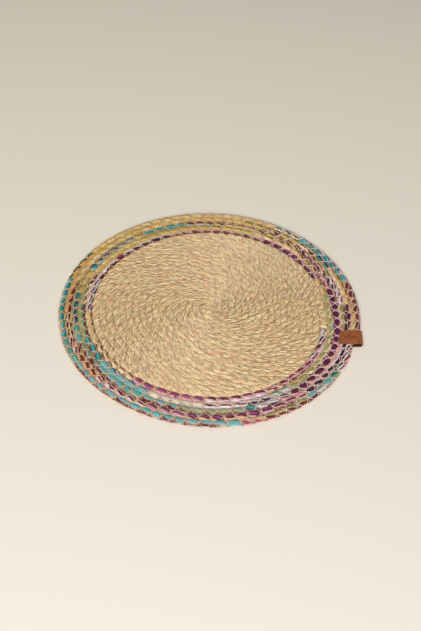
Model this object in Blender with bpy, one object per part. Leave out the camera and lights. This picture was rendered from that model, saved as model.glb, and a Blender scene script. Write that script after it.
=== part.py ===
# A round placemat: one jute cord coiled flat and sewn to itself, a border of
# five rows of a cord made of fabric strips, and a leather tab folded over the rim.
# Metres, +Z up, the origin on the table under the centre of the coil. The coil
# grows clockwise as seen from above. +X points to the side that carries the tab.
# A place along the spiral is given in turns: 0 is where the border starts, whole
# numbers lie on the seam line under the tab, and the coil's centre is at -JUTE_TURNS.

import math
import bmesh
import bpy

MM = 0.001

# the coil
JUTE_TURNS = 17                     # rows of plain jute cord
BORDER_TURNS = 5                    # rows of fabric strip cord
JUTE_RADIUS = 143.0 * MM            # where the jute gives way to the border
JUTE_ROW = JUTE_RADIUS / JUTE_TURNS
BORDER_ROW = 8.62 * MM
SEAM_ANGLE = math.radians(10)       # clockwise from +X, both cords end here
STEPS_PER_TURN = 60
FIRST_STEP = 20                     # the innermost turn starts a little off the centre
JOIN_GAP = 0.36 * MM                # between the two cords

# how far the rows swerve outwards at the seam, where a new turn climbs past the last end
SWERVE_SHARE = 0.54                 # part of a row's growth that happens in the swerve
SWERVE_TURNS = 30 / 360             # length of the swerve
SWERVE_FADE = (-9.0, -1.0)          # the swerve grows from none to full between these turns

# a slightly three-cornered outline, as hand-wound coils have
LOBES = 3
LOBE_DEPTH = 0.006
LOBE_ANGLE = math.radians(60)

# heights above the table
JUTE_GROOVE = 3.9 * MM
JUTE_CROWN = 6.0 * MM
BORDER_GROOVE = 3.8 * MM
BORDER_SHOULDER = 5.6 * MM
BORDER_CROWN = 6.4 * MM
SHOULDER_AT = 0.24                  # of the row's width, from either groove
RIM_WIDEST = 3.0 * MM
RIM_UNDERCUT = 1.2 * MM
EYE_DROP = 1.0 * MM                 # the dimple in the middle of the coil

# the leather tab, folded over the rim
LEATHER = 1.4 * MM
TAB_LENGTH = 26.0 * MM
TAB_WIDTH = 21.2 * MM
TAB_INNER_END = (162.2 * MM, -43.5 * MM)
TAB_TURN = math.radians(4)
TAB_HEIGHT = 7.0 * MM
FOLD_STEPS = 10
TAB_GAP = 0.5 * MM

# the tab squeezes the rows that it grips
PINCH_HOLD = 10 * MM                # they stay squeezed this far beyond its outline
PINCH_REACH = 8 * MM                # and are back at full height after this much more
PINCH_TOP = TAB_HEIGHT - LEATHER - TAB_GAP
PINCH_RIM = 3.6 * MM


def smoothstep(value):
    value = min(max(value, 0.0), 1.0)
    return value * value * (3.0 - 2.0 * value)


def turn_angle(turns):
    return SEAM_ANGLE + 2.0 * math.pi * turns


def past_swerve(turns):
    """Turns since the last swerve: climbs to 1, then drops back to 0 at each whole turn."""
    nearest = min(round(turns), BORDER_TURNS)
    done = smoothstep((turns - nearest) / SWERVE_TURNS + 0.5)
    return turns - (nearest - 1 + done)


def groove_radius(turns):
    """Radius of the line between two rows."""
    row = JUTE_ROW if turns < 0 else BORDER_ROW
    begin, full = SWERVE_FADE
    share = SWERVE_SHARE * smoothstep((turns - begin) / (full - begin))
    radius = JUTE_RADIUS + row * turns - share * BORDER_ROW * past_swerve(turns)
    lobes = math.cos(LOBES * (turn_angle(turns) - LOBE_ANGLE))
    return radius * (1.0 + LOBE_DEPTH * lobes)


def spot(turns, radius, height):
    angle = turn_angle(turns)
    return (radius * math.cos(angle), -radius * math.sin(angle), height)


def tab_place(x, y):
    """A point's place along and across the tab, from the middle of its inner end."""
    dx, dy = x - TAB_INNER_END[0], y - TAB_INNER_END[1]
    along = dx * math.cos(TAB_TURN) + dy * math.sin(TAB_TURN)
    across = dy * math.cos(TAB_TURN) - dx * math.sin(TAB_TURN)
    return along, across


def pinch(turns, radius):
    """1 where the tab grips the rows, fading to 0 around it."""
    x, y, _ = spot(turns, radius, 0.0)
    along, across = tab_place(x, y)
    outside = max(abs(across) - TAB_WIDTH / 2, -along, 0.0)
    return 1.0 - smoothstep((outside - PINCH_HOLD) / PINCH_REACH)


def pinched(turns, radius, height):
    squeeze = pinch(turns, radius)
    return spot(turns, radius, height + (min(height, PINCH_TOP) - height) * squeeze)


def material(name, colour, roughness):
    finish = bpy.data.materials.new(name)
    finish.use_nodes = True
    shader = finish.node_tree.nodes["Principled BSDF"]
    shader.inputs["Base Color"].default_value = (*colour, 1.0)
    shader.inputs["Roughness"].default_value = roughness
    shader.inputs["Metallic"].default_value = 0.0
    return finish


def mesh_object(name, work, finish):
    bmesh.ops.recalc_face_normals(work, faces=work.faces)
    mesh = bpy.data.meshes.new(name)
    work.to_mesh(mesh)
    work.free()
    mesh.materials.append(finish)
    item = bpy.data.objects.new(name, mesh)
    bpy.context.collection.objects.link(item)
    return item


def jute_coil():
    """The plain cord, wound from the eye to the seam, as one solid with its row relief on top."""
    work = bmesh.new()
    start = -JUTE_TURNS * STEPS_PER_TURN + FIRST_STEP
    end = STEPS_PER_TURN
    inner_steps = range(start, 0)
    outer_steps = range(0, end + 1)
    eye = work.verts.new((0.0, 0.0, JUTE_CROWN - EYE_DROP))
    under_eye = work.verts.new((0.0, 0.0, 0.0))
    grooves, crowns, rim = {}, {}, {}

    for step in inner_steps:
        turns = step / STEPS_PER_TURN
        grooves[step] = work.verts.new(spot(turns, groove_radius(turns), JUTE_GROOVE))
    for step in outer_steps:
        turns = step / STEPS_PER_TURN
        radius = groove_radius(turns) - JOIN_GAP / 2
        if step == end:
            turns -= JOIN_GAP / (2.0 * math.pi * radius)
        grooves[step] = work.verts.new(spot(turns, radius, JUTE_GROOVE))
        rim[step] = work.verts.new(spot(turns, radius, 0.0))

    for step in range(start, end + 1):
        turns = step / STEPS_PER_TURN
        inside = groove_radius(turns - 1.0) if step - STEPS_PER_TURN >= start else 0.0
        outside = groove_radius(turns)
        if step == end:
            turns -= JOIN_GAP / (2.0 * math.pi * outside)
        crowns[step] = work.verts.new(spot(turns, (inside + outside) / 2, JUTE_CROWN))

    for step in range(start, end):
        before, after = step - STEPS_PER_TURN, step + 1 - STEPS_PER_TURN
        work.faces.new((crowns[step], grooves[step], grooves[step + 1], crowns[step + 1]))
        if before >= start:
            work.faces.new((grooves[before], crowns[step], crowns[step + 1], grooves[after]))
        elif after >= start:
            work.faces.new((eye, crowns[step], crowns[step + 1], grooves[after]))
        else:
            work.faces.new((eye, crowns[step], crowns[step + 1]))
    work.faces.new((eye, crowns[start], grooves[start]))

    # the end of the cord, the wall and the flat underside
    work.faces.new((grooves[end], rim[end], rim[0], grooves[0], crowns[end]))
    for step in range(0, end):
        work.faces.new((grooves[step], rim[step], rim[step + 1], grooves[step + 1]))
        work.faces.new((rim[step], under_eye, rim[step + 1]))
    work.faces.new((rim[end], under_eye, rim[0]))
    bmesh.ops.triangulate(work, faces=work.faces)
    return mesh_object("jute_coil", work, material("natural_jute", (0.58, 0.42, 0.24), 0.85))


def border_edge(turns):
    """Groove radius of the border, drawn in where the tab squeezes the outermost edge."""
    radius = groove_radius(turns)
    if turns > BORDER_TURNS:
        radius -= PINCH_RIM * pinch(turns, radius)
    return radius


def border_coil():
    """Five rows of strip cord: one ring whose rows run into each other across the seam."""
    work = bmesh.new()
    last = (BORDER_TURNS + 1) * STEPS_PER_TURN
    outer_start = BORDER_TURNS * STEPS_PER_TURN
    grooves, rows = {}, {}
    for step in range(0, last + 1):
        turns = step / STEPS_PER_TURN
        radius = border_edge(turns)
        height = BORDER_GROOVE
        if step <= STEPS_PER_TURN:
            radius += JOIN_GAP / 2
        if step == 0:
            turns += JOIN_GAP / (2.0 * math.pi * radius)
        if step > outer_start:
            height = RIM_WIDEST
        grooves[step] = work.verts.new(pinched(turns, radius, height))
    profile = ((SHOULDER_AT, BORDER_SHOULDER), (0.5, BORDER_CROWN), (1.0 - SHOULDER_AT, BORDER_SHOULDER))
    for step in range(0, outer_start + 1):
        turns = step / STEPS_PER_TURN
        inside, outside = border_edge(turns), border_edge(turns + 1.0)
        shift = JOIN_GAP / (2.0 * math.pi * inside) if step == 0 else 0.0
        rows[step] = [
            work.verts.new(pinched(turns + shift, inside + (outside - inside) * share, height))
            for share, height in profile]

    for step in range(0, outer_start):
        here = [grooves[step], *rows[step], grooves[step + STEPS_PER_TURN]]
        there = [grooves[step + 1], *rows[step + 1], grooves[step + 1 + STEPS_PER_TURN]]
        for index in range(len(here) - 1):
            work.faces.new((here[index], here[index + 1], there[index + 1], there[index]))

    inner_steps = range(0, STEPS_PER_TURN + 1)
    outer_steps = range(outer_start, last + 1)
    inner_feet, outer_feet = [], []
    for step in inner_steps:
        place = grooves[step].co
        inner_feet.append(work.verts.new((place.x, place.y, 0.0)))
    for step in outer_steps:
        turns = step / STEPS_PER_TURN
        outer_feet.append(work.verts.new(spot(turns, border_edge(turns) - RIM_UNDERCUT, 0.0)))
    for index in range(STEPS_PER_TURN):
        inner, outer = grooves[index], grooves[outer_start + index]
        inner_next, outer_next = grooves[index + 1], grooves[outer_start + index + 1]
        work.faces.new((inner, inner_next, inner_feet[index + 1], inner_feet[index]))
        work.faces.new((outer, outer_next, outer_feet[index + 1], outer_feet[index]))
        work.faces.new((inner_feet[index], inner_feet[index + 1], outer_feet[index + 1], outer_feet[index]))
    work.faces.new((grooves[0], *rows[0], grooves[STEPS_PER_TURN], inner_feet[-1], inner_feet[0]))
    work.faces.new((grooves[outer_start], *rows[outer_start], grooves[last], outer_feet[-1], outer_feet[0]))
    work.faces.new((inner_feet[0], inner_feet[-1], outer_feet[-1], outer_feet[0]))
    bmesh.ops.triangulate(work, faces=work.faces)
    return mesh_object("border_coil", work, material("fabric_strips", (0.28, 0.25, 0.26), 0.8))


def tab_point(along, across, height):
    x = TAB_INNER_END[0] + along * math.cos(TAB_TURN) - across * math.sin(TAB_TURN)
    y = TAB_INNER_END[1] + along * math.sin(TAB_TURN) + across * math.cos(TAB_TURN)
    return (x, y, height)


def leather_tab():
    """One strip of leather: a leaf above the rows, a half-round fold, a leaf below them."""
    outer_fold = TAB_HEIGHT / 2
    inner_fold = outer_fold - LEATHER
    fold_start = TAB_LENGTH - outer_fold
    outside, inside = [(0.0, TAB_HEIGHT)], [(0.0, TAB_HEIGHT - LEATHER)]
    for index in range(FOLD_STEPS + 1):
        angle = math.pi * (0.5 - index / FOLD_STEPS)
        across, up = math.cos(angle), math.sin(angle)
        outside.append((fold_start + outer_fold * across, outer_fold + outer_fold * up))
        inside.append((fold_start + inner_fold * across, outer_fold + inner_fold * up))
    outside.append((0.0, 0.0))
    inside.append((0.0, LEATHER))

    work = bmesh.new()
    sides = []
    for side in (-TAB_WIDTH / 2, TAB_WIDTH / 2):
        sides.append([
            [work.verts.new(tab_point(along, side, height)) for along, height in line]
            for line in (outside, inside)])
    (near_out, near_in), (far_out, far_in) = sides
    for index in range(len(outside) - 1):
        work.faces.new((near_out[index], near_out[index + 1], far_out[index + 1], far_out[index]))
        work.faces.new((near_in[index], near_in[index + 1], far_in[index + 1], far_in[index]))
        work.faces.new((near_out[index], near_out[index + 1], near_in[index + 1], near_in[index]))
        work.faces.new((far_out[index], far_out[index + 1], far_in[index + 1], far_in[index]))
    for index in (0, -1):
        work.faces.new((near_out[index], far_out[index], far_in[index], near_in[index]))
    bmesh.ops.triangulate(work, faces=work.faces)
    return mesh_object("leather_tab", work, material("brown_leather", (0.28, 0.12, 0.05), 0.55))


def seat_lower_leaf(border):
    """The rows are pressed up by the lower leaf, so the mat still lies flat."""
    clear = TAB_GAP
    work = bmesh.new()
    corners = [
        work.verts.new(tab_point(along, across, height))
        for height in (-LEATHER, LEATHER + clear)
        for along, across in (
            (-clear, -TAB_WIDTH / 2 - clear), (TAB_LENGTH + LEATHER, -TAB_WIDTH / 2 - clear),
            (TAB_LENGTH + LEATHER, TAB_WIDTH / 2 + clear), (-clear, TAB_WIDTH / 2 + clear))]
    for face in ((0, 1, 2, 3), (4, 5, 6, 7), (0, 1, 5, 4), (1, 2, 6, 5), (2, 3, 7, 6), (3, 0, 4, 7)):
        work.faces.new([corners[index] for index in face])
    cutter = mesh_object("lower_leaf_seat", work, border.data.materials[0])
    cutter.display_type = "WIRE"
    cutter.hide_render = True
    cut = border.modifiers.new("lower leaf seat", "BOOLEAN")
    cut.operation = "DIFFERENCE"
    cut.solver = "EXACT"
    cut.object = cutter


def main():
    for item in list(bpy.data.objects):
        bpy.data.objects.remove(item, do_unlink=True)
    jute_coil()
    border = border_coil()
    leather_tab()
    seat_lower_leaf(border)


main()
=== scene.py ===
import math

import bpy
import numpy as np
from mathutils import Matrix, Vector


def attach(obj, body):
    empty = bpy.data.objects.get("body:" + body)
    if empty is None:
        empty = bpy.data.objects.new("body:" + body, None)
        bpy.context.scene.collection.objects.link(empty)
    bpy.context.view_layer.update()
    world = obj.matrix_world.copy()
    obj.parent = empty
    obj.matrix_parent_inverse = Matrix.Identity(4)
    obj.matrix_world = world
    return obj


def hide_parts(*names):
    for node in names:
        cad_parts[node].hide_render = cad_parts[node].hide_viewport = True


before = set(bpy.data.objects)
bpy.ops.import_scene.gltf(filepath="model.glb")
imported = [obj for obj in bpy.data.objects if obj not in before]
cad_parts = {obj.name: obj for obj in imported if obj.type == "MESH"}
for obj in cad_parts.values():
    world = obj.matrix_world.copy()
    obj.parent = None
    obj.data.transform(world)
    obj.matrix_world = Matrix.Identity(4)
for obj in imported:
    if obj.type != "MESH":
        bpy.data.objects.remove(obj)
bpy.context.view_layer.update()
print("the packed model is loaded")

mm = 0.001
fullTurn = 2.0 * math.pi
cordGirth = 24 * mm           # way round either cord, as its finish counts it


# node helpers, for finishes and for geometry alike

class Wire:
    # a node's output that can stand in a sum
    def __init__(self, board, socket):
        self.board = board
        self.socket = socket

    def maths(self, operation, *values):
        return self.board.node("ShaderNodeMath", {"operation": operation}, dict(enumerate(values)))

    def through(self, operation, *others):
        return self.maths(operation, self, *others)

    def __add__(self, other):
        return self.maths("ADD", self, other)

    def __sub__(self, other):
        return self.maths("SUBTRACT", self, other)

    def __rsub__(self, other):
        return self.maths("SUBTRACT", other, self)

    def __mul__(self, other):
        return self.maths("MULTIPLY", self, other)

    def __truediv__(self, other):
        return self.maths("DIVIDE", self, other)

    def __pow__(self, other):
        return self.maths("POWER", self, other)

    __radd__ = __add__
    __rmul__ = __mul__


class Board:
    # one node tree
    def __init__(self, tree):
        self.tree = tree

    def node(self, kind, settings=None, sockets=None, out=0):
        item = self.tree.nodes.new(kind)
        for name, value in (settings or {}).items():
            setattr(item, name, value)
        for name, value in (sockets or {}).items():
            if isinstance(value, Wire):
                self.tree.links.new(value.socket, item.inputs[name])
            else:
                item.inputs[name].default_value = value
        return Wire(self, item.outputs[out])

    def between(self, value, low, high):  # 0 below low, 1 above high, smooth between
        return self.node("ShaderNodeMapRange", {"interpolation_type": "SMOOTHSTEP"},
                         {"Value": value, "From Min": low, "From Max": high})

    def vector(self, x, y, z=0.0):
        return self.node("ShaderNodeCombineXYZ", None, {"X": x, "Y": y, "Z": z})

    def parts(self, vector):
        return [self.node("ShaderNodeSeparateXYZ", None, {"Vector": vector}, out) for out in range(3)]

    def noise(self, place, scale=1.0, detail=2.0, roughness=0.5):
        return self.node("ShaderNodeTexNoise", {"noise_dimensions": "3D"},
                         {"Vector": place, "Scale": scale, "Detail": detail, "Roughness": roughness})

    def wander(self, along, reach, seed):  # slow random drift between about -1 and 1
        place = self.vector(along / reach, seed * 3.7, seed)
        return (self.noise(place, 1.0, 0.0) - 0.5) * 2.6


# colours

def linear(colour):
    return tuple(c / 12.92 if c <= 0.04045 else ((c + 0.055) / 1.055) ** 2.4
                 for c in (value / 255.0 for value in colour))


# the spiral that both cords follow, the same rule as the CAD model's

coil = {
    "juteTurns": 17,
    "borderTurns": 5,
    "juteRow": 143.0 * mm / 17,   # a row's width
    "borderRow": 8.62 * mm,
    "juteRadius": 143.0 * mm,     # where the jute gives way to the border
    "seamAngle": math.radians(10),
    "swerveShare": 0.54,
    "swerveTurns": 30 / 360,
    "swerveFade": (-9.0, -1.0),
    "lobes": 3,
    "lobeDepth": 0.006,
    "lobeAngle": math.radians(60),
}


def turnAngle(turns):
    return turns * fullTurn + coil["seamAngle"]


def grooveRadius(turns):
    board = turns.board
    wider = coil["borderRow"] - coil["juteRow"]
    row = turns.through("GREATER_THAN", 0.0) * wider + coil["juteRow"]
    share = board.between(turns, *coil["swerveFade"]) * coil["swerveShare"]
    past = turns - turns.through("ROUND").through("MINIMUM", coil["borderTurns"])
    done = board.between(past, -coil["swerveTurns"] / 2, coil["swerveTurns"] / 2)
    radius = row * turns + coil["juteRadius"] - share * coil["borderRow"] * (past + 1.0 - done)
    lobes = ((turnAngle(turns) - coil["lobeAngle"]) * coil["lobes"]).through("COSINE")
    return (radius * (lobes * coil["lobeDepth"] + 1.0)).through("MAXIMUM", 0.0)


tab = {
    "thickness": 1.4 * mm,
    "length": 26.0 * mm,
    "width": 21.2 * mm,
    "innerEnd": (162.2 * mm, -43.5 * mm),
    "turn": math.radians(4),
    "height": 7.0 * mm,
    "askew": -4.0 * mm,       # the near corner of the leather's end lies this much further in
    "flare": 1.8 * mm,        # and its far side reaches this much further out
    "narrow": 0.97,           # the looks' share of the CAD tab's width
    "shift": 1.5 * mm,        # and how far they lie to the far side
    "rimPull": 3.6 * mm,      # how far the outermost edge is drawn in
    "pullBefore": 0.2,        # share of that on the seam's side of the tab
    "pullAfter": 0.1,         # and on its other side, where the last row ends
    "rimHold": 10.0 * mm,
    "rimReach": 8.0 * mm,
    "gripHold": 2.0 * mm,     # the rows are pressed down this far beyond the leather
    "gripReach": 8.0 * mm,
    "gripLow": 1.5 * mm,      # the rows under the leather lie between these heights
    "gripHigh": 5.5 * mm,
    "leafSteps": 8,
    "foldSteps": 14,
    "widthSteps": 12,
    "edgeRound": 0.28 * mm,
    "edgeDark": 0.9 * mm,     # the cut edges are darker this far in
}


def tabGrip(turns, radius, hold, reach):
    # 1 where the tab holds the rows, fading to 0 around it
    angle = turnAngle(turns)
    x = radius * angle.through("COSINE") - tab["innerEnd"][0]
    y = radius * angle.through("SINE") * -1.0 - tab["innerEnd"][1]
    along = x * math.cos(tab["turn"]) + y * math.sin(tab["turn"])
    across = y * math.cos(tab["turn"]) - x * math.sin(tab["turn"])
    outside = (across.through("ABSOLUTE") - tab["width"] / 2).through("MAXIMUM", along * -1.0)
    return 1.0 - turns.board.between(outside, hold, hold + reach)


def borderEdge(turns):
    radius = grooveRadius(turns)
    rim = turns.through("GREATER_THAN", coil["borderTurns"])
    dent = (((turns - border["dentTurns"]) / border["dentReach"]) ** 2.0 * -1.0).through("EXPONENT")
    before = turns.through("LESS_THAN", coil["borderTurns"] + 0.5)
    share = before * (tab["pullBefore"] - tab["pullAfter"]) + tab["pullAfter"]
    grip = tabGrip(turns, radius, tab["rimHold"], tab["rimReach"]) * share
    return radius - rim * (grip * tab["rimPull"] + dent * border["dent"])


def place(turns, radius, height):
    angle = turnAngle(turns)
    x, y = radius * angle.through("COSINE"), radius * angle.through("SINE") * -1.0
    return turns.board.vector(x, y, height)


# geometry node groups

def newGroup(name, numbers):
    # a group with named inputs: name -> (kind, starting value)
    tree = bpy.data.node_groups.new(name, "GeometryNodeTree")
    tree.is_modifier = True
    tree.interface.new_socket("Geometry", in_out="INPUT", socket_type="NodeSocketGeometry")
    tree.interface.new_socket("Geometry", in_out="OUTPUT", socket_type="NodeSocketGeometry")
    for label, (kind, value) in numbers.items():
        item = tree.interface.new_socket(label, in_out="INPUT", socket_type="NodeSocket" + kind)
        if value is not None:
            item.default_value = value
    board = Board(tree)
    start = tree.nodes.new("NodeGroupInput")
    return board, {item.name: Wire(board, item) for item in start.outputs if item.name}


def closeGroup(board, geometry, finish):
    whole = board.node("GeometryNodeRealizeInstances", None, {"Geometry": geometry})
    dressed = board.node("GeometryNodeSetMaterial", None, {"Geometry": whole, "Material": finish})
    end = board.tree.nodes.new("NodeGroupOutput")
    board.tree.links.new(dressed.socket, end.inputs[0])
    return board.tree


def grow(name, group, values):
    # runs a group once and keeps its result as a plain mesh
    item = bpy.data.objects.new(name, bpy.data.meshes.new(name))
    bpy.context.collection.objects.link(item)
    modifier = item.modifiers.new("grow", "NODES")
    modifier.node_group = group
    for socket in group.interface.items_tree:
        if socket.in_out == "INPUT" and socket.name in values:
            modifier[socket.identifier] = values[socket.name]
    ready = item.evaluated_get(bpy.context.evaluated_depsgraph_get())
    mesh = bpy.data.meshes.new_from_object(ready)
    item.modifiers.remove(modifier)
    item.data = mesh
    mesh.name = name
    print(f"{name}: {len(mesh.polygons)} faces")
    return item


def keep(board, geometry, name, value, kind="FLOAT", domain="POINT"):
    return board.node("GeometryNodeStoreNamedAttribute", {"data_type": kind, "domain": domain},
                      {"Geometry": geometry, "Name": name, "Value": value})


def dome(across, bend):
    # height of a cord's round back at a place across it, both as shares of half the cord
    left = 1.0 - across.through("ABSOLUTE").through("MINIMUM", 1.0) ** (2.0 / bend)
    return left.through("MAXIMUM", 0.0) ** (bend / 2.0)


def roundedEnds(along, length, radius):
    # 1 along the cord, falling to 0 in a quarter round at either end
    near = along.through("MINIMUM", length - along) / radius
    gone = 1.0 - near.through("MINIMUM", 1.0).through("MAXIMUM", 0.0)
    return (1.0 - gone * gone).through("SQRT")


def openGrid(board, columns, rings):
    # a sheet of points: its share of the way round and of the way along
    sheet = board.node("GeometryNodeMeshGrid", None,
                       {"Size X": 1.0, "Size Y": 1.0, "Vertices X": columns + 1, "Vertices Y": rings + 1})
    x, y, _ = board.parts(board.node("GeometryNodeInputPosition"))
    return sheet, x + 0.5, y + 0.5


def shapeTube(board, sheet, where):
    moved = board.node("GeometryNodeSetPosition", None, {"Geometry": sheet, "Position": where})
    closed = board.node("GeometryNodeMergeByDistance", None, {"Geometry": moved, "Distance": 0.000002})
    smoothed = board.node("GeometryNodeSetShadeSmooth", None, {"Geometry": closed, "Shade Smooth": True})
    return smoothed


# the plain cord, one length of twisted jute wound from the eye to the seam

jute = {
    "firstTurn": -16.7,
    "lastTurn": 1.0,
    "columns": 18,
    "rings": 4600,
    "height": 6.0 * mm,
    "overlap": 1.15,          # rows are pressed together
    "squareness": 0.46,
    "strands": 2,
    "lay": 30.0 * mm,         # length of one whole twist
    "strandDepth": 0.36,
    "fibreSlant": 0.1,        # of the fibres in the finish, against the row
    "endRound": 1.6 * mm,
}


def juteLength(turns):
    return math.pi * coil["juteRow"] * (turns + coil["juteTurns"] - 0.25) ** 2


def juteGroup():
    board, given = newGroup("twisted cord coil", {
        "Columns": ("Int", jute["columns"]),
        "Rings": ("Int", jute["rings"]),
        "Cord Height": ("Float", jute["height"]),
        "Strands": ("Float", jute["strands"]),
        "Lay": ("Float", jute["lay"]),
        "Strand Depth": ("Float", jute["strandDepth"]),
        "Finish": ("Material", None),
    })
    sheet, around, share = openGrid(board, given["Columns"], given["Rings"])
    start, finish = juteLength(jute["firstTurn"]), juteLength(jute["lastTurn"])
    along = share * (finish - start) + start
    turns = (along / (math.pi * coil["juteRow"])).through("SQRT") - (coil["juteTurns"] - 0.25)

    # strands run round the cord as it goes, with an uneven hand
    slack = board.wander(along, 150 * mm, 6.0) * 2.4 + board.wander(along, 40 * mm, 1.0) * 0.7
    slack = slack + board.wander(along, 11 * mm, 9.0) * 0.15
    theta = around * fullTurn - along / given["Lay"] * fullTurn + slack
    strandPlace = around * given["Strands"]
    strand = strandPlace.through("FLOOR").through("MODULO", given["Strands"])
    fat = board.noise(board.vector(along / (10 * mm), strand * 5.3), 1.0, 1.0) - 0.5
    ringX, ringY = (around * fullTurn).through("COSINE"), (around * fullTurn).through("SINE")
    lumps = board.noise(board.vector(along / (4.5 * mm), ringX * 1.5, ringY * 1.5), 1.0, 1.0) - 0.5
    deep = board.noise(board.vector(along / (9 * mm) + 50.0, ringX * 0.8, ringY * 0.8), 1.0, 1.0) * 2.0
    bulge = (strandPlace.through("FRACT") * math.pi).through("SINE") ** 0.6
    size = 0.97 - given["Strand Depth"] * (1.0 - bulge) * deep + (fat * 0.26 + lumps * 0.5) * bulge
    ends = roundedEnds(along - start, finish - start, jute["endRound"])

    inner, outer = grooveRadius(turns - 1.0), grooveRadius(turns)
    turned = theta.through("SINE")
    across = turned * 0.5 + turned.through("ARCSINE") * (1.0 / math.pi)
    upward = dome(across, jute["squareness"]) * theta.through("COSINE").through("SIGN")
    sway = board.wander(along, 60 * mm, 4.0) * 0.0002
    reach = (outer - inner) * 0.5 * jute["overlap"] * ends
    radius = (inner + outer) * 0.5 + sway + reach * across * (size * 0.6 + 0.4)
    height = ((upward * size * ends + 1.0) * 0.5 * given["Cord Height"]).through("MAXIMUM", 0.0)

    # how deep each point lies between the strands; the finish paints shade there
    sheet = keep(board, sheet, "groove", (1.0 - bulge) * deep)
    sheet = keep(board, sheet, "strand", board.noise(
        board.vector(along / (30 * mm), strand * 9.1, 2.0), 1.0, 1.0))
    sheet = keep(board, sheet, "UVMap", board.vector(along, around * cordGirth), "FLOAT2", "CORNER")
    return closeGroup(board, shapeTube(board, sheet, place(turns, radius, height)), given["Finish"])


# the border, five rows of a cord of fabric strips

border = {
    "columns": 18,            # nine above and nine below
    "rings": 5000,
    "height": 6.4 * mm,
    "overlap": 1.04,
    "squareness": 0.85,
    "bead": 14.8 * mm,        # along the row, from one crossing of the threads to the next
    "cross": 7.0 * mm,        # along the row, while a thread goes from side to side of it
    "pinchDepth": 0.48,
    "pinchWidth": 1.3 * mm,
    "notch": 0.12,            # how far a crossing draws in the row's sides
    "notchReach": 2.2 * mm,
    "endRound": 1.6 * mm,
    "dent": 1.3 * mm,         # the rim is pressed in a little, opposite the tab
    "dentTurns": 5.48,
    "dentReach": 0.06,
    "weave": 0.42 * mm,
    "stripEdges": (-0.68, -0.24, 0.24, 0.7),  # across the row, from -1 inside to 1 outside
    "edgeBlur": 0.07,
}


def borderLength(turns):
    return fullTurn * (coil["juteRadius"] * turns + coil["borderRow"] * (turns * turns + turns) / 2)


def turnsAlongBorder(along):
    row, start = coil["borderRow"], coil["juteRadius"]
    middle = start + row / 2
    return ((along * (2 * row / fullTurn) + middle * middle).through("SQRT") - middle) / row


def beadPhase(board, along):
    # a whole number at each crossing of the threads
    return along / border["bead"] + board.wander(along, 60 * mm, 7.0) * 0.35


def zigzag(board, along, way):
    # where across the row a thread lies, from -1 inside to 1 outside; the two threads go opposite ways
    wave = (beadPhase(board, along) + 0.5).through("PINGPONG", 1.0) * 2.0 - 1.0
    swing = wave * (border["bead"] / border["cross"]) * way + board.wander(along, 26 * mm, way + 2.0) * 0.75
    return swing.through("MINIMUM", 1.0).through("MAXIMUM", -1.0)


def threadPinch(board, across, along):
    # 1 under a thread, falling to 0 where the cloth puffs up between the threads
    pinches = []
    for way in (1.0, -1.0):
        swing = zigzag(board, along, way)
        miss = (across - swing * stitching["swing"]) * (coil["borderRow"] / 2 * 0.6 / border["pinchWidth"])
        firm = 1.0 - swing ** 4.0 * 0.8
        pinches.append((miss * miss * -1.0).through("EXPONENT") * firm)
    return pinches[0].through("MAXIMUM", pinches[1])


def borderPlace(board, turns, along, across, lift, ends=1.0):
    # lift is the height over the middle, as a share of half the cord's height
    inner, outer = borderEdge(turns), borderEdge(turns + 1.0)
    phase = beadPhase(board, along)
    miss = (phase - phase.through("ROUND")) * (border["bead"] / border["notchReach"])
    drawn = (miss * miss * -1.0).through("EXPONENT") * border["notch"]
    reach = (outer - inner) * 0.5 * border["overlap"]
    radius = (inner + outer) * 0.5 + reach * across * (1.0 - drawn) * ends
    height = ((lift * ends + 1.0) * 0.5 * border["height"]).through("MAXIMUM", 0.0)
    grip = tabGrip(turns, radius, tab["gripHold"], tab["gripReach"])
    squeezed = height * ((tab["gripHigh"] - tab["gripLow"]) / border["height"]) + tab["gripLow"]
    return place(turns, radius, height + (squeezed - height) * grip)


def borderGroup():
    board, given = newGroup("strip cord coil", {
        "Columns": ("Int", border["columns"]),
        "Rings": ("Int", border["rings"]),
        "Finish": ("Material", None),
    })
    sheet, around, share = openGrid(board, given["Columns"], given["Rings"])
    length = borderLength(coil["borderTurns"])
    along = share * length
    turns = turnsAlongBorder(along)
    half = around * 2.0
    side = half.through("GREATER_THAN", 1.0001)          # 0 above, 1 below
    column = half.through("PINGPONG", 1.0) * 2.0 - 1.0   # -1 at the inner side, 1 at the outer
    sway = board.wander(along, 18 * mm, 3.0) * 0.13 + board.wander(along, 7 * mm, 5.0) * 0.05
    lane = column + sway * (1.0 - column * column)
    across = lane * 0.45 + (lane * (math.pi / 2)).through("SINE") * 0.55

    # the cloth is lumpy and stands proud, except where the thread presses it down
    lumps = board.noise(board.vector(along / (6 * mm), column * 1.6, side * 5.0), 1.0, 1.0) - 0.5
    fat = board.noise(board.vector(along / (14 * mm), column * 0.8, side * 5.0 + 9.0), 1.0, 1.0) - 0.5
    pinch = threadPinch(board, across, along)
    puffed = 0.94 + lumps * 0.22 + fat * 0.2
    lift = dome(across, border["squareness"]) * puffed * (1.0 - pinch * border["pinchDepth"])
    ends = roundedEnds(along, length, border["endRound"])
    where = borderPlace(board, turns, along, across, lift * (1.0 - side * 2.0), ends)

    sheet = keep(board, sheet, "turns", turns)
    sheet = keep(board, sheet, "lane", across)
    sheet = keep(board, sheet, "phase", beadPhase(board, along))
    sheet = keep(board, sheet, "tuck", pinch)
    sheet = keep(board, sheet, "UVMap", board.vector(along, around * cordGirth), "FLOAT2", "CORNER")
    return closeGroup(board, shapeTube(board, sheet, where), given["Finish"])


# the thread that zigzags over the border's rows, above and below

stitching = {
    "pointsPerBead": 16,
    "radius": 0.33 * mm,
    "sides": 6,
    "swing": 0.99,            # how near the row's sides it lies
    "proud": (0.2 * mm, 0.5 * mm),  # one thread lies over the other
    "inset": 2 * mm,          # from either end of the row
    "ply": 1.1 * mm,
}


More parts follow.
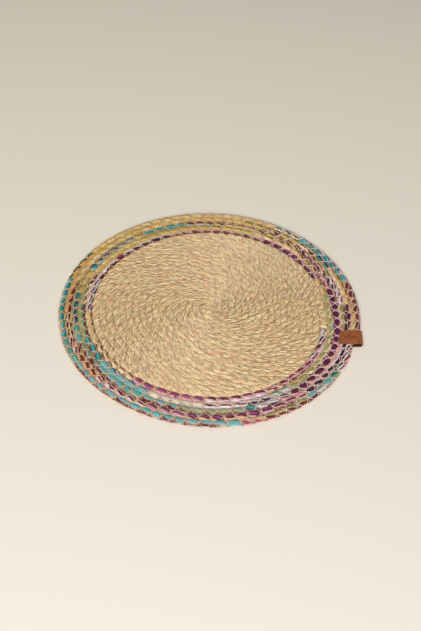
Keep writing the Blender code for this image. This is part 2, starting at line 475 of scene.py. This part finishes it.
def borderThreadGroup():
    board, given = newGroup("zigzag thread", {
        "Points": ("Int", 100),
        "Thread Radius": ("Float", stitching["radius"]),
        "Sides": ("Int", stitching["sides"]),
        "Side": ("Float", 1.0),
        "Way": ("Float", 1.0),
        "Proud": ("Float", stitching["proud"][0]),
        "Finish": ("Material", None),
    })
    line = board.node("GeometryNodeMeshLine", {"mode": "OFFSET"},
                      {"Count": given["Points"], "Offset": (0.0, 0.0, 0.0)})
    index = board.node("GeometryNodeInputIndex")
    length = borderLength(coil["borderTurns"])
    inset = stitching["inset"]
    along = index / (given["Points"] - 1.0) * (length - 2 * inset) + inset
    turns = turnsAlongBorder(along)
    swing = zigzag(board, along, given["Way"]) * stitching["swing"]
    lift = dome(swing, border["squareness"]) * (1.0 - border["pinchDepth"]) * given["Side"]
    where = borderPlace(board, turns, along, swing, lift)
    proud = board.vector(0.0, 0.0, given["Side"] * given["Proud"])
    where = board.node("ShaderNodeVectorMath", {"operation": "ADD"}, {0: where, 1: proud})
    moved = board.node("GeometryNodeSetPosition", None, {"Geometry": line, "Position": where})
    curve = board.node("GeometryNodeMeshToCurve", None, {"Mesh": moved})
    curve = keep(board, curve, "along", board.node("GeometryNodeSplineParameter", None, None, 1))
    curve = keep(board, curve, "turns", turns)
    curve = keep(board, curve, "phase", beadPhase(board, along))
    ring = board.node("GeometryNodeCurvePrimitiveCircle", {"mode": "RADIUS"},
                      {"Resolution": given["Sides"], "Radius": given["Thread Radius"]})
    tube = board.node("GeometryNodeCurveToMesh", None,
                      {"Curve": curve, "Profile Curve": ring, "Fill Caps": True})
    smoothed = board.node("GeometryNodeSetShadeSmooth", None, {"Geometry": tube, "Shade Smooth": True})
    return closeGroup(board, smoothed, given["Finish"])


# finishes

class Finish(Board):
    def __init__(self, name, **numbers):
        self.material = bpy.data.materials.new(name)
        self.material.use_nodes = True
        super().__init__(self.material.node_tree)
        self.shader = self.tree.nodes["Principled BSDF"]
        for label, value in numbers.items():
            self.shader.inputs[label.replace("_", " ")].default_value = value

    def feed(self, socket, wire):
        self.tree.links.new(wire.socket, self.shader.inputs[socket])

    def attribute(self, name, out=2):
        return self.node("ShaderNodeAttribute", {"attribute_name": name}, None, out)

    def blend(self, share, first, second, mode="MIX"):
        return self.node("ShaderNodeMix", {"data_type": "RGBA", "blend_type": mode},
                         {0: share, 6: first, 7: second}, 2)

    def bump(self, height, distance, under=None):
        sockets = {"Height": height, "Distance": distance, "Strength": 1.0}
        if under:
            sockets["Normal"] = under
        return self.node("ShaderNodeBump", None, sockets)


def shade(red, green, blue):
    return (*linear((red, green, blue)), 1.0)


def juteFinish():
    cloth = Finish("naturalJute", Roughness=0.72, Specular_IOR_Level=1.0, IOR=2.5,
                   Anisotropic=0.72, Anisotropic_Rotation=0.31,
                   Specular_Tint=(1.0, 0.91, 0.81, 1.0), Sheen_Weight=0.05)
    uv = cloth.node("ShaderNodeUVMap", {"uv_map": "UVMap"})
    along, around, _ = cloth.parts(uv)
    skewed = around + along * jute["fibreSlant"]
    bundle = cloth.noise(cloth.vector(along * 130.0, skewed * 330.0, 7.0), 1.0, 1.0)
    fibres = cloth.noise(cloth.vector(along * 110.0, skewed * 1500.0), 1.0, 3.0, 0.6)
    fine = cloth.noise(cloth.vector(along * 300.0, skewed * 6000.0, 4.0), 1.0, 2.0)
    fleck = cloth.noise(cloth.vector(along * 260.0, skewed * 620.0, 11.0), 1.0, 1.0)
    spot = cloth.node("ShaderNodeTexCoord", None, None, 3)
    patches = cloth.noise(spot, 60.0, 2.0)
    clouds = cloth.noise(spot, 85.0, 2.0)
    strand = cloth.attribute("strand")
    groove = cloth.attribute("groove")

    light, mid, dark = shade(255, 230, 164), shade(255, 178, 98), shade(150, 76, 26)
    rosy, olive = shade(244, 160, 96), shade(228, 172, 82)
    _, _, height = cloth.parts(spot)
    layers = [  # what steers it, where it starts, where it is full, its share and its colour
        (patches, 0.5, 0.68, 0.6, rosy),
        (clouds, 0.5, 0.68, 0.6, olive),
        # painted highlights on the raised bundles and flecks, and painted shade in the gaps between them,
        # over the fibres' own mixed tones
        (bundle, 0.48, 0.58, 1.0, light),
        (bundle, 0.45, 0.35, 0.9, dark),
        (fleck, 0.5, 0.6, 0.7, light),
        (fleck, 0.42, 0.34, 0.5, dark),
        (fibres, 0.45, 0.7, 0.5, light),
        (fibres, 0.45, 0.3, 0.3, dark),
        (strand, 0.4, 0.75, 0.25, light),
        (fine, 0.55, 0.75, 0.15, dark),
        # painted shade in the grooves between the strands
        (groove, 0.45, 1.2, 0.6, dark),
        (height, 4.9 * mm, 3.6 * mm, 0.7, light),  # painted light low down the sides, lifting the shade between the rows where loose fibres would hide it
    ]
    colour = mid
    for steer, start, full, share, tint in layers:
        colour = cloth.blend(cloth.between(steer, start, full) * share, colour, tint)
    cloth.feed("Base Color", colour)
    cloth.feed("Normal", cloth.bump(bundle * 2.2 + fleck * 0.5 + fibres * 0.5 + fine * 0.2, 2.2 * mm))
    return cloth.material


palette = {
    "white": (230, 212, 208),
    "cream": (238, 213, 168),
    "gold": (214, 176, 94),
    "mustard": (196, 158, 72),
    "orange": (218, 156, 100),
    "peach": (224, 174, 136),
    "pink": (212, 152, 156),
    "magenta": (150, 76, 116),
    "purple": (88, 26, 72),
    "plum": (46, 18, 46),
    "maroon": (94, 34, 40),
    "brown": (116, 62, 46),
    "navy": (34, 32, 66),
    "blue": (58, 94, 134),
    "turquoise": (88, 182, 186),
    "teal": (36, 126, 126),
    "green": (94, 152, 122),
    "sage": (156, 160, 106),
    "olive": (138, 126, 64),
    "grey": (162, 160, 150),
}

# the cord is a bundle of five cloth strips, from its inner side to its outer side
bundles = {
    "snow": "maroon white white brown white",
    "lace": "plum white maroon white peach",
    "net": "white maroon magenta pink grey",
    "ribbon": "peach pink white plum plum",
    "ink": "white plum white maroon pink",
    "jet": "grey green white navy white",
    "fern": "white white maroon plum grey",
    "berry": "peach brown purple pink white",
    "wine": "peach purple magenta magenta pink",
    "currant": "grey purple magenta maroon peach",
    "damson": "maroon purple magenta purple pink",
    "grape": "grey plum purple maroon pink",
    "mulberry": "maroon purple purple maroon pink",
    "thistle": "brown plum pink pink purple",
    "garnet": "peach magenta maroon pink brown",
    "petal": "maroon plum cream white white",
    "rosewood": "peach maroon pink maroon white",
    "bark": "cream orange maroon brown peach",
    "cedar": "maroon brown pink cream peach",
    "russet": "cream olive sage brown plum",
    "saffron": "purple peach maroon peach gold",
    "saddle": "plum purple pink gold cream",
    "chestnut": "gold brown maroon pink maroon",
    "clay": "gold plum peach maroon sage",
    "toffee": "maroon brown orange orange gold",
    "shell": "brown pink pink maroon peach",
    "sand": "cream brown peach cream brown",
    "straw": "brown peach gold cream peach",
    "wheat": "peach cream gold mustard brown",
    "honey": "mustard gold cream gold sage",
    "barley": "gold mustard sage sage green",
    "amber": "mustard cream gold gold mustard",
    "butter": "peach white white cream grey",
    "biscuit": "gold peach cream gold brown",
    "sunrise": "plum gold cream orange magenta",
    "brindle": "orange mustard plum green cream",
    "hay": "cream brown green white white",
    "meadow": "gold sage sage cream brown",
    "hedge": "cream plum gold green olive",
    "field": "gold gold olive sage olive",
    "moss": "sage grey plum grey plum",
    "heather": "olive green gold maroon brown",
    "mint": "grey green grey sage brown",
    "thyme": "sage green grey brown maroon",
    "willow": "brown maroon green sage sage",
    "pebble": "brown white grey white plum",
    "mist": "brown grey green white grey",
    "sea": "sage green turquoise green grey",
    "shoal": "green turquoise turquoise grey maroon",
    "lagoon": "sage turquoise turquoise grey purple",
    "spray": "teal turquoise brown white white",
    "pool": "white blue turquoise grey turquoise",
    "dusk": "pink grey turquoise grey maroon",
    "iris": "turquoise teal blue navy purple",
    "reef": "teal teal turquoise sage white",
    "kelp": "brown plum teal green sage",
    "bramble": "grey brown maroon peach cream",
    "forest": "olive teal plum grey olive",
    "tide": "olive teal turquoise teal brown",
}

# each row's run of bundles, from the innermost row out, by the degree clockwise from +X
# where each one starts
rowRuns = [
    "10 snow 14 ink 19 berry 24 ink 33 garnet 53 shell 60 berry 88 wine 124 sand 150 straw "
    "172 lace 195 petal 216 damson 220 petal 250 cedar 298 damson 318 thistle 338 wheat "
    "345 meadow 366 sea",
    "10 meadow 43 field 53 mist 62 pebble 70 snow 92 butter 114 pool 140 tide 158 willow "
    "180 hedge 194 straw 200 honey 232 barley 270 field 292 wheat 318 clay 334 shell 344 mulberry",
    "10 mulberry 31 grape 52 ink 60 pebble 71 tide 75 mint 100 shoal 115 sea 125 shoal 139 thyme "
    "157 sea 168 forest 187 field 200 iris 206 moss 230 field 238 tide 255 bramble 272 clay "
    "314 saffron 330 hedge 335 lace 345 snow 352 russet",
    "10 ribbon 31 fern 50 shell 55 garnet 64 damson 72 currant 96 net 112 rosewood 135 bark "
    "150 rosewood 158 clay 172 toffee 195 amber 245 honey 262 amber 283 field 292 clay 302 field "
    "312 hedge 320 forest 330 wheat 353 saddle",
    "10 ink 29 jet 33 kelp 37 shoal 41 mist 46 shoal 51 heather 68 sunrise 75 pool 84 shoal "
    "90 lagoon 108 shoal 117 dusk 145 sea 158 reef 194 brindle 212 amber 260 biscuit 298 hay "
    "311 spray 335 shoal 343 chestnut",
]


def paintStrips(item, strips):
    # writes these strips' colours on a mesh, changing from one bundle to the next at a crossing
    mesh = item.data
    turns, phase = (np.empty(len(mesh.vertices), np.float32) for _ in range(2))
    for name, values in (("turns", turns), ("phase", phase)):
        mesh.attributes[name].data.foreach_get("value", values)
    row = np.clip(np.floor(turns), 0, len(rowRuns) - 1).astype(int)
    beadTurn = border["bead"] / (fullTurn * (coil["juteRadius"] + coil["borderRow"] * turns))
    middle = turns - row + (np.floor(phase) + 0.5 - phase) * beadTurn
    degrees = middle * 360.0 + math.degrees(coil["seamAngle"])
    for strip in strips:
        colours = np.ones((len(turns), 4), np.float32)
        for number, runs in enumerate(rowRuns):
            words = runs.split()
            starts = np.array([float(word) for word in words[::2]])
            shades = np.array([linear(palette[bundles[word].split()[strip]]) for word in words[1::2]])
            mine = row == number
            colours[mine, :3] = shades[np.clip(np.searchsorted(starts, degrees[mine], "right") - 1, 0, None)]
        layer = mesh.attributes.new(f"strip{strip}", "FLOAT_COLOR", "POINT")
        layer.data.foreach_set("color", colours.ravel())


def stripFinish():
    cloth = Finish("fabricStrips", Roughness=0.5, Specular_IOR_Level=0.35)
    uv = cloth.node("ShaderNodeUVMap", {"uv_map": "UVMap"})
    along, around, _ = cloth.parts(uv)
    lane, phase, tuck = (cloth.attribute(name) for name in ("lane", "phase", "tuck"))
    strips = [cloth.attribute(f"strip{strip}", 0) for strip in range(5)]
    pulls = cloth.noise(cloth.vector(along * 160.0, around * 1500.0), 1.0, 3.0, 0.6)
    folds = cloth.noise(cloth.vector(along * 120.0, around * 260.0, 3.0), 1.0, 2.0)

    # the strips spread in each bead of cloth and draw together where the threads cross
    bead = phase.through("FLOOR")
    whim, whimsy = (cloth.node("ShaderNodeTexWhiteNoise", {"noise_dimensions": "1D"}, {"W": bead + seed})
                    for seed in (0.0, 0.37))
    spread = (phase.through("FRACT") * math.pi).through("SINE")
    bowed = lane / (spread ** 0.5 * 0.45 + 0.55) + (whim - 0.5) * 0.5 + (folds - 0.5) * 1.1
    bowed = bowed + (phase.through("FRACT") - 0.5) * (whimsy * 0.9 + 0.3)  # and slant
    colour = strips[0]
    blur = border["edgeBlur"]
    for strip, edge in zip(strips[1:], border["stripEdges"]):
        colour = cloth.blend(cloth.between(bowed, edge - blur, edge + blur), colour, strip)
    pleat = ((bowed * 2.5 + 0.5).through("FRACT") * math.pi).through("SINE")

    colour = cloth.blend(cloth.between(pulls, 0.4, 0.75) * 0.5, colour, shade(225, 215, 215), "OVERLAY")
    colour = cloth.blend(whimsy * 0.25, colour, shade(120, 105, 110), "MULTIPLY")
    # painted shade in the creases between the pleats
    colour = cloth.blend((1.0 - pleat) ** 2.0 * 0.3, colour, shade(60, 35, 45), "MULTIPLY")
    colour = cloth.blend(cloth.between(spread, 0.35, 0.1) * 0.3, colour, shade(205, 168, 150))
    # painted shade where the threads pinch the cloth down
    colour = cloth.blend(cloth.between(tuck, 0.1, 1.0) * 0.25, colour, shade(60, 35, 45), "MULTIPLY")
    # painted highlight on the puffed crowns of the pleats
    colour = cloth.blend(cloth.between((1.0 - tuck) * pleat, 0.4, 1.0) * 0.6, colour,
                         shade(222, 215, 218), "OVERLAY")
    cloth.feed("Base Color", colour)
    warp, weft = ((place * (fullTurn / border["weave"])).through("SINE") for place in (around, along))
    weave = warp * weft
    normal = cloth.bump(pulls * 0.5 + folds * 0.5 + pleat * 0.7, 0.6 * mm)
    cloth.feed("Normal", cloth.bump(weave, 0.03 * mm, normal))
    return cloth.material


def threadFinish(name, colour, golden, dark):
    thread = Finish(name, Roughness=0.6, Specular_IOR_Level=0.4, Sheen_Weight=0.2)
    along = thread.attribute("along")
    spot = thread.node("ShaderNodeTexCoord", None, None, 3)
    grain = thread.noise(spot, 1500.0, 2.0)
    ply = (along * (fullTurn / stitching["ply"])).through("SINE")
    side, _, _ = thread.parts(spot)
    colour = thread.blend(thread.between(side, -0.08, 0.12), golden, colour)
    cloth = thread.attribute("strip3", 0)
    red, green, _ = thread.parts(cloth)
    colour = thread.blend((red * green * 1.5).through("MINIMUM", 0.7), colour, cloth)
    thread.feed("Base Color", thread.blend(thread.between(grain, 0.45, 0.8) * 0.5, colour, dark))
    thread.feed("Normal", thread.bump(ply * 0.6 + grain * 0.5, 0.12 * mm))
    return thread.material


def leatherFinish():
    hide = Finish("brownLeather", Roughness=0.55, Specular_IOR_Level=0.4)
    spot = hide.node("ShaderNodeTexCoord", None, None, 3)
    pores = hide.node("ShaderNodeTexVoronoi", {"feature": "F1"}, {"Vector": spot, "Scale": 1500.0})
    mottle = hide.noise(spot, 160.0, 4.0, 0.6)
    clouds = hide.noise(spot, 70.0, 2.0)
    edge = hide.attribute("rim")
    tan, deep, pale = shade(164, 94, 50), shade(130, 68, 34), shade(180, 110, 62)
    colour = hide.blend(hide.between(mottle, 0.35, 0.7), deep, tan)
    colour = hide.blend(hide.between(clouds, 0.5, 0.75) * 0.4, colour, pale)
    colour = hide.blend(edge * 0.4, colour, shade(112, 64, 38))
    # painted shade inside the fold, where the flesh side is darker too, and along the lower leaf
    colour = hide.blend(hide.attribute("foldShade"), colour, shade(66, 36, 19))
    hide.feed("Base Color", colour)
    hide.feed("Roughness", mottle * 0.25 + 0.42)
    grain = hide.bump(mottle, 0.25 * mm)
    hide.feed("Normal", hide.bump(pores, 0.12 * mm, grain))
    return hide.material


# the leather tab, folded over the rim

def tabMesh(finish):
    # a strip of leather bent into a leaf above the rows, a half round and a leaf below them
    outerFold = tab["height"] / 2
    innerFold = outerFold - tab["thickness"]
    foldStart = tab["length"] - outerFold
    steps, foldSteps, widthSteps = tab["leafSteps"], tab["foldSteps"], tab["widthSteps"]
    line = [(foldStart * step / steps, 1.0, 0.0) for step in range(steps)]
    line += [(foldStart, math.cos(a), math.sin(a)) for a in
             (math.pi * step / foldSteps for step in range(foldSteps + 1))]
    line += [(foldStart * (steps - step) / steps, -1.0, 0.0) for step in range(1, steps + 1)]

    def spot(along, across, height):
        cosine, sine = math.cos(tab["turn"]), math.sin(tab["turn"])
        return (tab["innerEnd"][0] + along * cosine - across * sine,
                tab["innerEnd"][1] + along * sine + across * cosine, height)

    def trim(along, across):
        # the ends are cut askew and the leather widens towards the fold
        left = max(1.0 - along / foldStart, 0.0)
        far = 0.5 + across / tab["width"]
        along += tab["askew"] * left * (1.0 - far) + tab["flare"] * (1.0 - left) * far
        return along, across * tab["narrow"] + tab["shift"] + tab["flare"] * (1.0 - left * 0.5) * far * 0.5

    verts, faces = [], []
    loop = []
    for fold in (outerFold, innerFold):
        rows = []
        for start, up, out in line:
            row = []
            for index in range(widthSteps + 1):
                across = (index / widthSteps - 0.5) * tab["width"]
                along = start + out * fold
                row.append(len(verts))
                verts.append(spot(*trim(along, across), outerFold + up * fold))
            rows.append(row)
        loop.append(rows)
    outside, inside = loop
    last = len(line) - 1
    for a in range(last):
        for b in range(widthSteps):
            faces.append((outside[a][b], outside[a + 1][b], outside[a + 1][b + 1], outside[a][b + 1]))
            faces.append((inside[a][b], inside[a][b + 1], inside[a + 1][b + 1], inside[a + 1][b]))
        for b, order in ((0, 1), (widthSteps, -1)):
            face = (outside[a][b], inside[a][b], inside[a + 1][b], outside[a + 1][b])
            faces.append(face[::order])
    for b in range(widthSteps):
        faces.append((outside[0][b], outside[0][b + 1], inside[0][b + 1], inside[0][b]))
        faces.append((outside[last][b + 1], outside[last][b], inside[last][b], inside[last][b + 1]))
    mesh = bpy.data.meshes.new("leatherTab")
    mesh.from_pydata(verts, [], faces)
    mesh.materials.append(finish)
    for polygon in mesh.polygons:
        polygon.use_smooth = True
    item = bpy.data.objects.new("leatherTab", mesh)
    bpy.context.collection.objects.link(item)
    soft = item.modifiers.new("edge", "BEVEL")
    soft.width = tab["edgeRound"]
    soft.segments = 3
    soft.limit_method = "ANGLE"
    soft.angle_limit = math.radians(50)
    ready = item.evaluated_get(bpy.context.evaluated_depsgraph_get())
    item.data = bpy.data.meshes.new_from_object(ready)
    item.modifiers.remove(soft)
    paintRim(item.data)
    return item


def paintRim(mesh):
    # how near each point is to the leather's cut edges, and where shade is painted inside the fold and low
    # on the lower leaf
    points = np.empty(len(mesh.vertices) * 3)
    mesh.vertices.foreach_get("co", points)
    points = points.reshape(-1, 3)
    dx, dy = points[:, 0] - tab["innerEnd"][0], points[:, 1] - tab["innerEnd"][1]
    across = dy * math.cos(tab["turn"]) - dx * math.sin(tab["turn"])
    along = dx * math.cos(tab["turn"]) + dy * math.sin(tab["turn"])
    share = across / tab["width"]
    aside = np.abs(across - tab["shift"] - tab["flare"] * 0.2)
    gap = np.minimum(tab["width"] * tab["narrow"] / 2 + tab["flare"] * 0.2 - aside,
                     along - tab["askew"] * (0.5 - share))
    rim = np.clip(1.0 - gap / tab["edgeDark"], 0.0, 1.0)
    middle, leather = tab["height"] / 2, tab["thickness"]
    bend = np.hypot(np.maximum(along - tab["length"] + middle, 0.0), points[:, 2] - middle)
    foldShade = np.clip((middle - leather * 0.75 - bend) / (leather * 0.3), 0.0, 1.0)
    foldShade = np.maximum(foldShade, np.clip(2.0 - points[:, 2] / leather, 0.0, 1.0))
    for name, value in (("rim", rim), ("foldShade", foldShade)):
        layer = mesh.attributes.new(name, "FLOAT", "POINT")
        layer.data.foreach_set("value", value.astype(np.float32))


# making the pieces

juteCoil = grow("juteCoil", juteGroup(), {"Finish": juteFinish()})
borderCoil = grow("borderCoil", borderGroup(), {"Finish": stripFinish()})
paintStrips(borderCoil, range(5))

pinkThread = threadFinish("stitchThread", shade(255, 220, 206), shade(240, 200, 148), shade(226, 172, 150))
threadGroup = borderThreadGroup()
beads = round(borderLength(coil["borderTurns"]) / border["bead"])
threads = []
for name, side in (("borderThreadTop", 1.0), ("borderThreadUnder", -1.0)):
    for number, way in enumerate((1.0, -1.0)):
        threads.append(grow(f"{name}{number}", threadGroup, {
            "Points": beads * stitching["pointsPerBead"], "Side": side, "Way": way,
            "Proud": stitching["proud"][number], "Finish": pinkThread}))
        paintStrips(threads[-1], (3,))

leatherTab = tabMesh(leatherFinish())
print("the pieces are made")


# what each piece is

pieces = {
    "juteCoil": (juteCoil, "natural_jute", ["jute_coil"]),
    "borderCoil": (borderCoil, "fabric_strips", ["border_coil"]),
    **{thread.name: (thread, "fabric_strips", []) for thread in threads},
    "leatherTab": (leatherTab, "brown_leather", ["leather_tab"]),
}
for piece, slotName, nodes in pieces.values():
    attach(piece, "root")
    if nodes:
        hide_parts(*nodes)


# floor, light and camera

studio = {
    "floorSize": 8.0,
    "floorNear": (228, 220, 209),
    "floorFar": (237, 229, 212),
    "floorBlend": (-0.45, 0.75),  # between these places in depth the floor goes from painted shade near the lamp to painted light further off
    "world": (1.0, 0.985, 0.965),
    "worldStrength": 0.26,
    "keyPlace": (-0.3, -2.3, 1.86),
    "keySize": 1.5,
    "keyPower": 106.0,
    "keyColour": (1.0, 0.985, 0.96),
}

view = {
    "place": (0.00174, -0.84603, 0.83688),
    "target": (0.00174, -0.00798, 0.0),
    "roll": 0.0459,
    "lens": 54.03,            # millimetres, on the sensor's width
    "sensor": 36.0,
}


def floorFinish():
    floor = Finish("studioFloor", Roughness=0.9, Specular_IOR_Level=0.1)
    spot = floor.node("ShaderNodeTexCoord", None, None, 3)
    _, depth, _ = floor.parts(spot)
    # darker near the front and lighter further back: painted shade and light against the lamp's falloff
    far = floor.between(depth, *studio["floorBlend"])
    colours = (shade(*studio[name]) for name in ("floorNear", "floorFar"))
    floor.feed("Base Color", floor.blend(far, *colours))
    return floor.material


bpy.ops.mesh.primitive_plane_add(size=studio["floorSize"])
floor = bpy.context.object
floor.name = "floor"
floor.data.materials.append(floorFinish())

world = bpy.data.worlds.new("studio")
bpy.context.scene.world = world
world.use_nodes = True
background = world.node_tree.nodes["Background"]
background.inputs["Color"].default_value = (*studio["world"], 1.0)
background.inputs["Strength"].default_value = studio["worldStrength"]

lamp = bpy.data.lights.new("key", "AREA")
lamp.size = studio["keySize"]
lamp.energy = studio["keyPower"]
lamp.color = studio["keyColour"]
key = bpy.data.objects.new("key", lamp)
bpy.context.collection.objects.link(key)
key.location = studio["keyPlace"]


def aim(item, target, roll=0.0):
    way = Vector(target) - item.location
    turn = way.to_track_quat("-Z", "Y").to_matrix() @ Matrix.Rotation(roll, 3, "Z")
    item.rotation_euler = turn.to_euler()


aim(key, (0.0, 0.0, 0.0))

lens = bpy.data.cameras.new("camera")
lens.lens = view["lens"]
lens.sensor_width = view["sensor"]
camera = bpy.data.objects.new("camera", lens)
bpy.context.collection.objects.link(camera)
camera.location = view["place"]
aim(camera, view["target"], view["roll"])
bpy.context.scene.camera = camera
bpy.context.scene.view_settings.view_transform = "Standard"
print("floor, light and camera are set")
